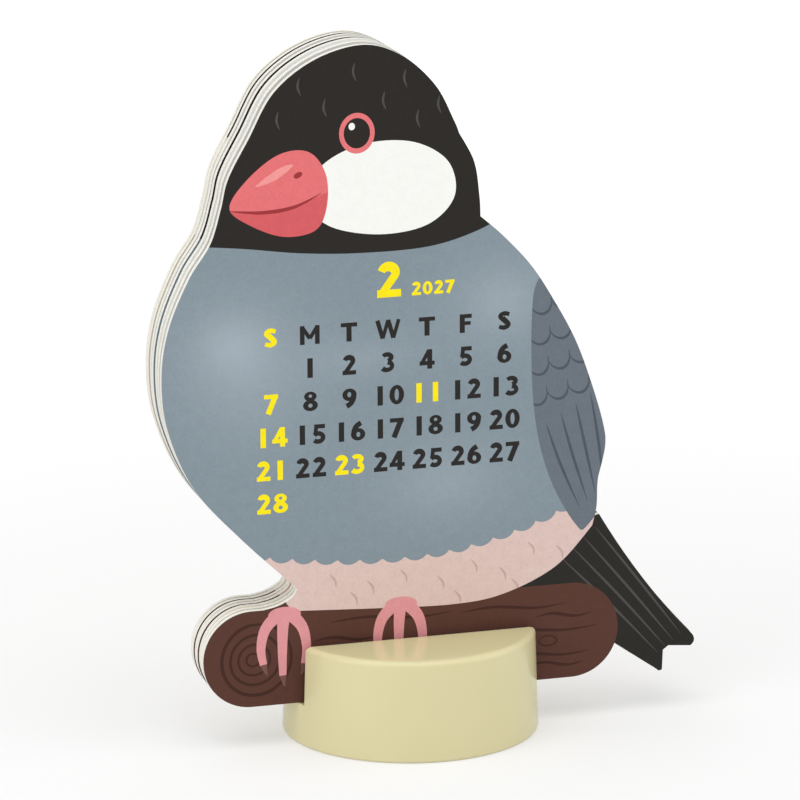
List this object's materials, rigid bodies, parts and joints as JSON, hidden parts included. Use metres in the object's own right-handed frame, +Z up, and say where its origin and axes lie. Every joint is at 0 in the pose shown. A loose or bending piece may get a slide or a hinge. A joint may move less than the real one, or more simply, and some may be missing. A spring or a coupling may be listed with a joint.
{
  "type": "desk calendar",
  "caption": "Desk calendar of thick die-cut boards in the outline of a perched finch, printed with months and standing one behind another in the slot of a round base.",
  "frame": {"origin": "middle of the base's underside, on the table", "axes": "+X along the boards to the right as seen from the front, +Y from the front to the back, +Z up"},
  "size_m": [0.1287, 0.06, 0.1638],
  "materials": {
    "base_plastic": "smooth, glossy, cream yellow",
    "plate_plastic": "satin, cream yellow",
    "board_card": "uncoated cut edges, printed faces"
  },
  "bodies": {
    "base": {"base_shell": "base_plastic", "base_plate": "plate_plastic"},
    "board_1": {"board_1": "board_card"},
    "board_2": {"board_2": "board_card"},
    "board_3": {"board_3": "board_card"},
    "board_4": {"board_4": "board_card"},
    "board_5": {"board_5": "board_card"},
    "board_6": {"board_6": "board_card"},
    "board_7": {"board_7": "board_card"}
  },
  "joints": [
    {"name": "board_1_lift", "type": "slide", "parent": "base", "child": "board_1", "axis": [0, 0, 1], "range_m": [0, 0.16]},
    {"name": "board_2_lift", "type": "slide", "parent": "base", "child": "board_2", "axis": [0, 0.014, 0.9999], "range_m": [0, 0.16]},
    {"name": "board_3_lift", "type": "slide", "parent": "base", "child": "board_3", "axis": [0, 0.0297, 0.9996], "range_m": [0, 0.16]},
    {"name": "board_4_lift", "type": "slide", "parent": "base", "child": "board_4", "axis": [0, 0.0332, 0.9995], "range_m": [0, 0.16]},
    {"name": "board_5_lift", "type": "slide", "parent": "base", "child": "board_5", "axis": [0, 0.0436, 0.999], "range_m": [0, 0.16]},
    {"name": "board_6_lift", "type": "slide", "parent": "base", "child": "board_6", "axis": [0, 0.0454, 0.999], "range_m": [0, 0.16]},
    {"name": "board_7_lift", "type": "slide", "parent": "base", "child": "board_7", "axis": [0, 0.0506, 0.9987], "range_m": [0, 0.16]}
  ]
}
